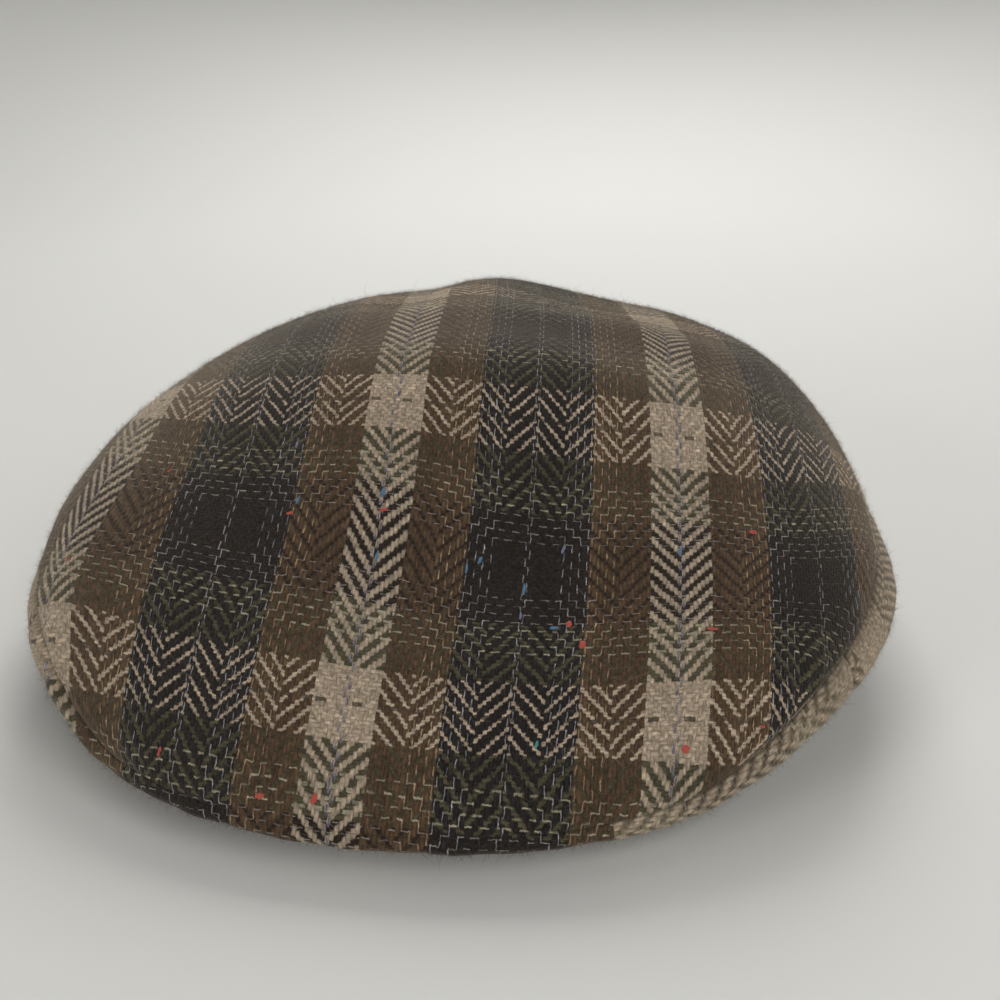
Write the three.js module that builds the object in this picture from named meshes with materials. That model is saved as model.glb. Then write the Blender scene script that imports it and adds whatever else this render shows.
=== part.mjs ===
import * as THREE from 'three';

// Flat cap of herringbone tweed, in millimetres. It rests on z = 0 with its peak towards -Y.
// One large top panel meets two side panels and the peak along a seam that runs right round the cap.

// Seam ring in plan: two half superellipses that meet at the widest station.
const SEAM_HALF_WIDTH = 110;
const SEAM_FRONT_REACH = 108;
const SEAM_BACK_REACH = 156;
const SEAM_POWER = 2.2;
const WIDEST_Y = -24.5;

// Crown: the centre line climbs from the front seam to the top, then rounds down to the back seam.
const TOP_HEIGHT = 86;
const TOP_FROM_FRONT = 138;
const FRONT_RISE_POWER = 0.9;
const BACK_FALL_POWER = 2.4;
const BACK_ROUND_POWER = 0.68;

// Head opening: an oval for a 57 cm head.
const OPENING_HALF_WIDTH = 82;
const OPENING_HALF_LENGTH = 100;
const OPENING_CENTRE_Y = 14.5;

const CLOTH_WALL = 2;
const SEAM_GAP = 0.3;
const TEMPLE_ANGLE = 60;

// Facets: degrees of the ring to a facet, rings of the crown, steps down a wall.
const RING_STEP = 4;
const CROWN_RINGS = 14;
const WALL_STEPS = 9;

// Walls below the seam, front (0) to back (180). From the seam, a wall swells out and down, then
// tucks in under the crown to its hem. Swell and tuck place the two handles of that curve.
const STATIONS = [
  { angle: 0, seamZ: 12, swellOut: 6, swellDown: 7, tuckIn: 15, tuckDown: 9, hemZ: 8 },
  { angle: 30, seamZ: 14, swellOut: 6, swellDown: 8, tuckIn: 16, tuckDown: 10, hemZ: 6 },
  { angle: 60, seamZ: 29, swellOut: 13.5, swellDown: 12, tuckIn: 19, tuckDown: 18, hemZ: 0 },
  { angle: 90, seamZ: 34.5, swellOut: 22, swellDown: 14, tuckIn: 21, tuckDown: 21, hemZ: 0 },
  { angle: 135, seamZ: 38.5, swellOut: 14, swellDown: 14, tuckIn: 14, tuckDown: 22, hemZ: 0 },
  { angle: 180, seamZ: 41, swellOut: 8, swellDown: 14, tuckIn: 9, tuckDown: 24, hemZ: 0 },
];

// Soft folds of the top panel: centre, half width, half length, and how far each lifts the cloth.
const FOLDS = [
  { name: 'crest', x: -2, y: 40, halfX: 16, halfY: 45, lift: 2.4 },
  { name: 'hollow left of the crest', x: 36, y: 40, halfX: 18, halfY: 40, lift: -2.5 },
  { name: 'hollow right of the crest', x: -24, y: 42, halfX: 10, halfY: 35, lift: -1.8 },
  { name: 'left shoulder', x: 84, y: 28, halfX: 16, halfY: 40, lift: 2.7 },
  { name: 'right slope', x: -85, y: 15, halfX: 16, halfY: 32, lift: -1.3 },
  { name: 'brow', x: 15, y: -38, halfX: 62, halfY: 20, lift: 5.3 },
  { name: 'flat front', x: 10, y: -88, halfX: 60, halfY: 26, lift: -6.2 },
  { name: 'shelf behind the brow', x: 38, y: -2, halfX: 42, halfY: 17, lift: 3.2 },
  { name: 'right of the shelf', x: -45, y: -5, halfX: 32, halfY: 28, lift: 1.6 },
  { name: 'right front', x: -55, y: -62, halfX: 32, halfY: 30, lift: -1.4 },
  { name: 'left front', x: 70, y: -60, halfX: 28, halfY: 30, lift: -2.9 },
];

const radians = THREE.MathUtils.degToRad;
const signedPower = (value, power) => Math.sign(value) * Math.abs(value) ** power;

// Slope at each station: level at both ends, and no overshoot between.
function stationSlopes(column) {
  const slopes = STATIONS.map(() => 0);
  for (let i = 1; i < STATIONS.length - 1; i += 1) {
    const before = STATIONS[i].angle - STATIONS[i - 1].angle;
    const after = STATIONS[i + 1].angle - STATIONS[i].angle;
    const rise = (STATIONS[i][column] - STATIONS[i - 1][column]) / before;
    const nextRise = (STATIONS[i + 1][column] - STATIONS[i][column]) / after;
    if (rise * nextRise > 0) {
      slopes[i] = (2 * rise * nextRise) / (rise + nextRise);
    }
  }
  return slopes;
}

const SLOPES = {};
for (const column of Object.keys(STATIONS[0])) {
  SLOPES[column] = stationSlopes(column);
}

// A column of the station table at any angle, by cubic curves between the rows.
function stationValue(column, angle) {
  const turn = Math.min(Math.abs(angle), 180);
  let i = 0;
  while (i < STATIONS.length - 2 && turn > STATIONS[i + 1].angle) {
    i += 1;
  }
  const [row, next] = [STATIONS[i], STATIONS[i + 1]];
  const span = next.angle - row.angle;
  const t = (turn - row.angle) / span;
  const rise = next[column] - row[column];
  const [startSlope, endSlope] = [SLOPES[column][i] * span, SLOPES[column][i + 1] * span];
  const bend = t * (1 - t) * ((startSlope - rise) * (1 - t) - (endSlope - rise) * t);
  return row[column] + rise * t + bend;
}

// Point of the seam ring in plan. Positive angles are the wearer's left, on +X.
function seamPlan(angle) {
  const [across, along] = [Math.sin(radians(angle)), -Math.cos(radians(angle))];
  const reach = along < 0 ? SEAM_FRONT_REACH : SEAM_BACK_REACH;
  const x = SEAM_HALF_WIDTH * signedPower(across, 2 / SEAM_POWER);
  const y = WIDEST_Y + reach * signedPower(along, 2 / SEAM_POWER);
  return new THREE.Vector2(x, y);
}

// How far a plan point's row lies along the ring: 0 at the widest station, 1 at the front or back.
function alongRing(y) {
  const reach = y < WIDEST_Y ? SEAM_FRONT_REACH : SEAM_BACK_REACH;
  return Math.min(Math.abs(y - WIDEST_Y) / reach, 1);
}

// Ring angle whose seam point has this y.
function ringAngleAt(y) {
  const turn = THREE.MathUtils.radToDeg(Math.acos(alongRing(y) ** (SEAM_POWER / 2)));
  return y < WIDEST_Y ? turn : 180 - turn;
}

function centreLineHeight(y) {
  const fromFront = y - (WIDEST_Y - SEAM_FRONT_REACH);
  const length = SEAM_FRONT_REACH + SEAM_BACK_REACH;
  if (fromFront < TOP_FROM_FRONT) {
    const short = Math.min(1 - fromFront / TOP_FROM_FRONT, 1);
    const frontSeam = STATIONS[0].seamZ;
    return frontSeam + (TOP_HEIGHT - frontSeam) * (1 - short ** 2) ** FRONT_RISE_POWER;
  }
  const past = Math.min((fromFront - TOP_FROM_FRONT) / (length - TOP_FROM_FRONT), 1);
  const backSeam = STATIONS[STATIONS.length - 1].seamZ;
  return backSeam + (TOP_HEIGHT - backSeam) * (1 - past ** BACK_FALL_POWER) ** BACK_ROUND_POWER;
}

// Crown over a plan point: each cross section is a half ellipse from seam to seam, plus the folds.
function crownHeight(x, y) {
  const halfWidth = SEAM_HALF_WIDTH * (1 - alongRing(y) ** SEAM_POWER) ** (1 / SEAM_POWER);
  const across = halfWidth > 0 ? Math.min(Math.abs(x) / halfWidth, 1) : 1;
  const arch = Math.sqrt(1 - across ** 2);
  const seam = stationValue('seamZ', ringAngleAt(y));
  let height = seam + (centreLineHeight(y) - seam) * arch;
  for (const fold of FOLDS) {
    const near = ((x - fold.x) / fold.halfX) ** 2 + ((y - fold.y) / fold.halfY) ** 2;
    height += fold.lift * arch * Math.exp(-near);
  }
  return height;
}

// Crown point at a ring angle; lean runs from 0 at the middle to 90 at the seam.
function crownPoint(angle, lean) {
  const plan = seamPlan(angle).multiplyScalar(Math.sin(radians(lean)));
  return new THREE.Vector3(plan.x, plan.y, crownHeight(plan.x, plan.y));
}

// Inner face of the crown under the same point: one wall in along the surface normal.
function crownLining(angle, lean) {
  const point = crownPoint(angle, lean);
  const reach = 0.5;
  const slopeX = crownHeight(point.x + reach, point.y) - crownHeight(point.x - reach, point.y);
  const slopeY = crownHeight(point.x, point.y + reach) - crownHeight(point.x, point.y - reach);
  const normal = new THREE.Vector3(-slopeX, -slopeY, 2 * reach).normalize();
  return point.addScaledVector(normal, -CLOTH_WALL);
}

// Seam edge in space, with its outward direction in plan.
function seamEdge(angle) {
  const plan = seamPlan(angle);
  const outward = plan.clone().normalize();
  return { plan, outward, z: stationValue('seamZ', angle) };
}

function offSeam(edge, out, z) {
  return new THREE.Vector3(edge.plan.x + edge.outward.x * out, edge.plan.y + edge.outward.y * out, z);
}

// How far the opening lies inside the seam, along the line from the origin to the seam point.
function openingInset(edge) {
  const { x, y } = edge.outward;
  const square = (x / OPENING_HALF_WIDTH) ** 2 + (y / OPENING_HALF_LENGTH) ** 2;
  const cross = (y * OPENING_CENTRE_Y) / OPENING_HALF_LENGTH ** 2;
  const rest = (OPENING_CENTRE_Y / OPENING_HALF_LENGTH) ** 2 - 1;
  const opening = (cross + Math.sqrt(cross ** 2 - square * rest)) / square;
  return edge.plan.length() - opening;
}

// Section of a wall below the seam: outer and inner points from the seam down to the hem.
function wallSection(angle) {
  const edge = seamEdge(angle);
  const value = (column) => stationValue(column, angle);
  const inset = openingInset(edge);
  const curve = new THREE.CubicBezierCurve(
    new THREE.Vector2(0, edge.z - SEAM_GAP),
    new THREE.Vector2(value('swellOut'), edge.z - value('swellDown')),
    new THREE.Vector2(-value('tuckIn'), edge.z - value('tuckDown')),
    new THREE.Vector2(-inset, value('hemZ')),
  );
  const section = { outer: [], inner: [] };
  for (let i = 0; i <= WALL_STEPS; i += 1) {
    const point = curve.getPoint(i / WALL_STEPS);
    const along = curve.getTangent(i / WALL_STEPS);
    const inward = new THREE.Vector2(along.y, -along.x);
    if (i === 0 || i === WALL_STEPS) {
      inward.set(-1, 0);
    }
    section.outer.push(offSeam(edge, point.x, point.y));
    section.inner.push(offSeam(edge, point.x + inward.x * CLOTH_WALL, point.y + inward.y * CLOTH_WALL));
  }
  return section;
}

// Indexed triangles gathered from named points.
function meshBuilder() {
  const positions = [];
  const index = [];
  const add = (point) => positions.push(point.x, point.y, point.z) / 3 - 1;
  const triangle = (a, b, c) => index.push(a, b, c);
  const quad = (a, b, c, d) => {
    triangle(a, b, c);
    triangle(a, c, d);
  };
  const geometry = () => {
    const made = new THREE.BufferGeometry();
    made.setAttribute('position', new THREE.Float32BufferAttribute(positions, 3));
    made.setIndex(index);
    made.computeVertexNormals();
    return made;
  };
  return { add, triangle, quad, geometry };
}

// Top panel: two domed skins, one wall apart, joined round the seam edge.
function topPanel() {
  const builder = meshBuilder();
  const facets = 360 / RING_STEP;
  const skin = (pointAt) => {
    const middle = builder.add(pointAt(0, 0));
    const rings = [];
    for (let ring = 1; ring <= CROWN_RINGS; ring += 1) {
      const lean = (90 * ring) / CROWN_RINGS;
      const row = [];
      for (let facet = 0; facet < facets; facet += 1) {
        row.push(builder.add(pointAt(facet * RING_STEP - 180, lean)));
      }
      rings.push(row);
    }
    return { middle, rings };
  };
  const outer = skin((angle, lean) => {
    const edge = seamEdge(angle);
    return lean < 90 ? crownPoint(angle, lean) : offSeam(edge, 0, edge.z);
  });
  const inner = skin((angle, lean) => {
    const edge = seamEdge(angle);
    return lean < 90 ? crownLining(angle, lean) : offSeam(edge, -CLOTH_WALL, edge.z);
  });
  for (let facet = 0; facet < facets; facet += 1) {
    const next = (facet + 1) % facets;
    builder.triangle(outer.middle, outer.rings[0][facet], outer.rings[0][next]);
    builder.triangle(inner.middle, inner.rings[0][next], inner.rings[0][facet]);
    for (let ring = 0; ring < CROWN_RINGS - 1; ring += 1) {
      const [above, below] = [outer.rings[ring], outer.rings[ring + 1]];
      builder.quad(above[facet], below[facet], below[next], above[next]);
      const [insideAbove, insideBelow] = [inner.rings[ring], inner.rings[ring + 1]];
      builder.quad(insideAbove[next], insideBelow[next], insideBelow[facet], insideAbove[facet]);
    }
    const [rim, insideRim] = [outer.rings[CROWN_RINGS - 1], inner.rings[CROWN_RINGS - 1]];
    builder.quad(rim[facet], insideRim[facet], insideRim[next], rim[next]);
  }
  return builder.geometry();
}

// Wall swept round the ring through the given angles, closed at both ends.
function sweptWall(angles) {
  const builder = meshBuilder();
  const sections = angles.map((angle) => {
    const { outer, inner } = wallSection(angle);
    return [...outer, ...inner.reverse()].map(builder.add);
  });
  const around = sections[0].length;
  for (let i = 0; i < sections.length - 1; i += 1) {
    for (let j = 0; j < around; j += 1) {
      const k = (j + 1) % around;
      builder.quad(sections[i][j], sections[i][k], sections[i + 1][k], sections[i + 1][j]);
    }
  }
  const [first, last] = [sections[0], sections[sections.length - 1]];
  for (let j = 0; j < WALL_STEPS; j += 1) {
    const back = around - 1 - j;
    builder.quad(first[j], first[back], first[back - 1], first[j + 1]);
    builder.quad(last[j + 1], last[back - 1], last[back], last[j]);
  }
  return builder.geometry();
}

// Ring angles from one end to the other, one facet apart, with both ends drawn in by half a gap.
function sweepAngles(from, to) {
  const halfGap = (angle) => {
    const perDegree = seamPlan(angle).distanceTo(seamPlan(angle - 1));
    return SEAM_GAP / 2 / perDegree;
  };
  const angles = [from + halfGap(from)];
  for (let angle = from + RING_STEP; angle < to; angle += RING_STEP) {
    angles.push(angle);
  }
  angles.push(to - halfGap(to));
  return angles;
}

function cloth(color) {
  return new THREE.MeshStandardMaterial({ color, roughness: 0.95, metalness: 0 });
}

function piece(name, geometry, color) {
  const mesh = new THREE.Mesh(geometry, cloth(color));
  mesh.name = name;
  return mesh;
}

const cap = new THREE.Group();
cap.add(piece('crown_top', topPanel(), '#4a3d31'));
cap.add(piece('side_panel_left', sweptWall(sweepAngles(TEMPLE_ANGLE, 180)), '#8a7f6d'));
cap.add(piece('side_panel_right', sweptWall(sweepAngles(-180, -TEMPLE_ANGLE)), '#8a7f6d'));
cap.add(piece('peak', sweptWall(sweepAngles(-TEMPLE_ANGLE, TEMPLE_ANGLE)), '#57493a'));

export default cap;
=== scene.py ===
import bmesh
import bpy
import numpy as np
from mathutils import Matrix


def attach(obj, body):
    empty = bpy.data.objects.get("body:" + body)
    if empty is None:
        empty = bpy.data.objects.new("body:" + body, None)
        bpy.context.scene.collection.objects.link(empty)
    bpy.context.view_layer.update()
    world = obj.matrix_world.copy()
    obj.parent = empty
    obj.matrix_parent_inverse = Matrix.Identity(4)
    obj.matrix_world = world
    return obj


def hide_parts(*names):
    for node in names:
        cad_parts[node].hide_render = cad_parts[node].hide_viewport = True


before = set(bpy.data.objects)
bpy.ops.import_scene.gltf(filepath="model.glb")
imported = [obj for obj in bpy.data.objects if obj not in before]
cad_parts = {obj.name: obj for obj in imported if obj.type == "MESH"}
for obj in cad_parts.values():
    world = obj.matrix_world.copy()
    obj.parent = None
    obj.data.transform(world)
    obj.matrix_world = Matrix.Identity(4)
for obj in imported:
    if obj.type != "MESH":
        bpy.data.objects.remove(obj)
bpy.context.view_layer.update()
scene = bpy.context.scene

# Camera
# It stands a hand's length in front of the peak, a little to the wearer's left, and looks down on it.
MM = 0.001
CAMERA_PLACE = np.array([50.5, -298.5, 155.8])
CAMERA_TURN, CAMERA_DOWN, CAMERA_ROLL = np.radians([8.29, 22.84, 0.89])
SENSOR_WIDTH, LENS_LENGTH = 36.0, 38.88

camera = bpy.data.objects.new("camera", bpy.data.cameras.new("camera"))
camera.data.sensor_width = SENSOR_WIDTH
camera.data.lens = LENS_LENGTH
camera.data.clip_start = 0.01
camera.matrix_world = (
    Matrix.Translation(CAMERA_PLACE * MM)
    @ Matrix.Rotation(CAMERA_TURN, 4, "Z")
    @ Matrix.Rotation(np.pi / 2 - CAMERA_DOWN, 4, "X")
    @ Matrix.Rotation(-CAMERA_ROLL, 4, "Z")
)
scene.collection.objects.link(camera)
scene.camera = camera

# Floor and light
# A pale matt sheet lies flat under the cap and sweeps up all round it. Large soft lamps stand behind the
# cap, above it, low in front and at both sides in front, the right one stronger.
FLOOR_REACH, BEND_RADIUS, WALL_TOP = 900.0, 1500.0, 2600.0
BEND_POINTS, SPIN_POINTS = 25, 97
FLOOR_COLOUR = (0.68, 0.68, 0.66)


def dished_floor():
    """Grid of points: a profile that runs level, turns up a quarter circle and rises, spun round."""
    bend = np.linspace(0, np.pi / 2, BEND_POINTS)
    reach = np.concatenate([[0], FLOOR_REACH + BEND_RADIUS * np.sin(bend), [FLOOR_REACH + BEND_RADIUS]])
    height = np.concatenate([[0], BEND_RADIUS * (1 - np.cos(bend)), [WALL_TOP]])
    spin = np.linspace(0, 2 * np.pi, SPIN_POINTS)[:, None]
    return np.stack([reach * np.cos(spin), reach * np.sin(spin), height + 0 * spin], -1)


def strip_faces(rows, columns):
    """Quads of a grid of points numbered row by row."""
    corner = np.arange(rows * columns).reshape(rows, columns)
    quads = np.stack([corner[:-1, :-1], corner[1:, :-1], corner[1:, 1:], corner[:-1, 1:]], -1)
    return quads.reshape(-1, 4)


def new_piece(name, points, faces, material):
    """Smooth mesh object at the origin from points in millimetres."""
    mesh = bpy.data.meshes.new(name)
    mesh.from_pydata((points.reshape(-1, 3) * MM).tolist(), [], faces)
    mesh.polygons.foreach_set("use_smooth", np.ones(len(mesh.polygons), bool))
    mesh.materials.append(material)
    piece = bpy.data.objects.new(name, mesh)
    scene.collection.objects.link(piece)
    return piece


paper = bpy.data.materials.new("pale_floor")
paper.use_nodes = True
paper_shader = paper.node_tree.nodes["Principled BSDF"]
paper_shader.inputs["Base Color"].default_value = (*FLOOR_COLOUR, 1)
paper_shader.inputs["Roughness"].default_value = 0.7
paper_shader.inputs["Specular IOR Level"].default_value = 0.2
floor_grid = dished_floor()
floor = new_piece("floor", floor_grid, strip_faces(*floor_grid.shape[:2]).tolist(), paper)
floor_shape = bmesh.new()
floor_shape.from_mesh(floor.data)
bmesh.ops.remove_doubles(floor_shape, verts=floor_shape.verts, dist=1e-5)
floor_shape.to_mesh(floor.data)
floor_shape.free()


LAMP_AIM = (0.0, 0.0, 0.03)
WARM_WHITE = (1.0, 0.985, 0.96)


def soft_lamp(name, place, size, power, colour):
    """Square lamp at a place in metres, turned so that it shines on the cap."""
    lamp = bpy.data.objects.new(name, bpy.data.lights.new(name, "AREA"))
    lamp.data.size = size
    lamp.data.energy = power
    lamp.data.color = colour
    back = np.subtract(place, LAMP_AIM) / np.linalg.norm(np.subtract(place, LAMP_AIM))
    right = np.cross((0, 0, 1), back) / np.linalg.norm(np.cross((0, 0, 1), back))
    turn = np.eye(4)
    turn[:3, :3] = np.stack([right, np.cross(back, right), back], 1)
    turn[:3, 3] = place
    lamp.matrix_world = Matrix(turn.tolist())
    scene.collection.objects.link(lamp)


soft_lamp("behind", (0.0, 1.1, 1.1), 1.0, 16.0, (1.0, 0.99, 0.97))
soft_lamp("front_left", (-0.9, -1.1, 0.55), 0.45, 4.6, WARM_WHITE)
soft_lamp("front_right", (0.9, -0.9, 1.0), 1.0, 9.4, WARM_WHITE)
soft_lamp("front_low", (0.1, -1.5, 0.52), 0.4, 3.0, WARM_WHITE)
soft_lamp("overhead", (0.0, 0.1, 1.5), 1.4, 2.8, (1.0, 1.0, 1.0))

world = bpy.data.worlds.new("room")
world.use_nodes = True
sky = world.node_tree.nodes["Background"]
sky.inputs["Color"].default_value = (0.97, 0.985, 1.0, 1)
sky.inputs["Strength"].default_value = 0.06
scene.world = world
scene.view_settings.view_transform = "Standard"

# Tweed
# All the pieces are cut from one soft woollen cloth: a two and two herringbone that turns every eight
# ends, with a check of cream stripes on brown and navy. The warp repeats every 80 ends and the weft
# every 74 picks, both mirrored about the cream stripe.
END_PITCH, PICK_PITCH = 0.87, 1.077
TURN_ENDS = 8
FLOAT_LEAN = 0.3

# Half a repeat, and where its stripes end, counted from the middle of the cream stripe
WARP_HALF, CREAM_ENDS, BROWN_ENDS = 40, 8, 24
WEFT_HALF, CREAM_PICKS, MOSS_PICKS = 37, 9, 24
FANCY_ENDS, MIDDLE_ENDS, FANCY_PICKS = (16, 32), (39, 41), (15.5, 30.5)

# How far a float of warp spreads over the picks; the bold ones are those that cross the cream picks
CREAM_COVER, BROWN_COVER, NAVY_COVER = 1.0, 1.6, 1.25
BROWN_BOLD_COVER, NAVY_BOLD_COVER = 1.38, 1.52

# How far threads waver and fray, and how wide the fancy yarns are, in threads
WAVER, FRAY = 0.75, 0.6
FANCY_WIDTH, SLATE_EXTRA, ASH_WIDTH, OAT_EXTRA, OAT_ON_CREAM = 0.2, 0.2, 0.18, 0.15, 0.42

CREAM = (0.32, 0.258, 0.19)
DIM_CREAM = (0.375, 0.298, 0.222)
BROWN = (0.074, 0.047, 0.0285)
NAVY = (0.0185, 0.0162, 0.0158)
TAN = (0.325, 0.245, 0.155)
MIST = (0.27, 0.26, 0.275)
SLATE = (0.095, 0.1, 0.17)
MOSS = (0.062, 0.0555, 0.0345)
UMBER = (0.0225, 0.0162, 0.0132)
DASH = (0.095, 0.076, 0.055)
OAT = (0.285, 0.252, 0.183)
ASH = (0.24, 0.215, 0.20)


class Reading:
    """A number worked out by a material: arithmetic with it adds Math nodes to the material."""

    def __init__(self, tree, socket):
        self.tree, self.socket = tree, socket

    def math(self, operation, *others):
        node = self.tree.nodes.new("ShaderNodeMath")
        node.operation = operation
        for place, value in zip(node.inputs, (self, *others)):
            if isinstance(value, Reading):
                self.tree.links.new(value.socket, place)
            else:
                place.default_value = value
        return Reading(self.tree, node.outputs[0])

    def __add__(self, other):
        return self.math("ADD", other)

    def __sub__(self, other):
        return self.math("SUBTRACT", other)

    def __mul__(self, other):
        return self.math("MULTIPLY", other)

    def floor(self):
        return self.math("FLOOR")

    def below(self, other):
        return self.math("LESS_THAN", other)

    def between(self, low, high):
        """1 where the number lies from low up to high, else 0."""
        return self.math("COMPARE", (low + high) / 2, (high - low) / 2)

    def rise(self, low, high):
        """0 up to low, 1 from high, a straight climb between."""
        node = self.tree.nodes.new("ShaderNodeMapRange")
        self.tree.links.new(self.socket, node.inputs["Value"])
        node.inputs["From Min"].default_value = low
        node.inputs["From Max"].default_value = high
        return Reading(self.tree, node.outputs["Result"])


def choose(flag, one, other):
    """One reading or number where the flag is 1, the other where it is 0."""
    return flag * one + (flag * -1 + 1) * other


def blend_colour(tree, share, first, second, blend="MIX"):
    """Colour node that goes from first to second as share goes from 0 to 1."""
    node = tree.nodes.new("ShaderNodeMix")
    node.data_type = "RGBA"
    node.blend_type = blend
    for place, value in zip((node.inputs[0], node.inputs[6], node.inputs[7]), (share, first, second)):
        if isinstance(value, Reading):
            tree.links.new(value.socket, place)
        elif isinstance(value, bpy.types.NodeSocket):
            tree.links.new(value, place)
        else:
            place.default_value = (*value, 1) if isinstance(value, tuple) else value
    return node.outputs[2]


def yarn_bands(tree, position, bands):
    """Colour of the yarn at a position from 0 to 1 across half a repeat, from (start, colour) bands."""
    node = tree.nodes.new("ShaderNodeValToRGB")
    node.color_ramp.interpolation = "CONSTANT"
    for index, (start, colour) in enumerate(bands):
        stop = node.color_ramp.elements[0] if index == 0 else node.color_ramp.elements.new(start)
        stop.position = start
        stop.color = (*colour, 1)
    node.color_ramp.elements.remove(node.color_ramp.elements[-1])
    tree.links.new(position.socket, node.inputs["Fac"])
    return node.outputs["Color"]


def cloth_noise(tree, threads, stretch, detail, kind="ShaderNodeTexNoise"):
    """Noise over the threads, stretched by the given amounts along the ends and the picks."""
    scale = tree.nodes.new("ShaderNodeVectorMath")
    scale.operation = "MULTIPLY"
    scale.inputs[1].default_value = (*stretch, 1)
    tree.links.new(threads, scale.inputs[0])
    node = tree.nodes.new(kind)
    node.inputs["Scale"].default_value = 1.0
    node.inputs["Detail"].default_value = detail
    tree.links.new(scale.outputs[0], node.inputs["Vector"])
    return node


def yarn_shade(tree, first, second):
    """Random number from 0 to 1 for each pair of whole numbers."""
    pair = tree.nodes.new("ShaderNodeCombineXYZ")
    tree.links.new(first.socket, pair.inputs[0])
    tree.links.new(second.socket, pair.inputs[1])
    node = tree.nodes.new("ShaderNodeTexWhiteNoise")
    node.noise_dimensions = "2D"
    tree.links.new(pair.outputs[0], node.inputs["Vector"])
    return Reading(tree, node.outputs["Value"])


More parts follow.
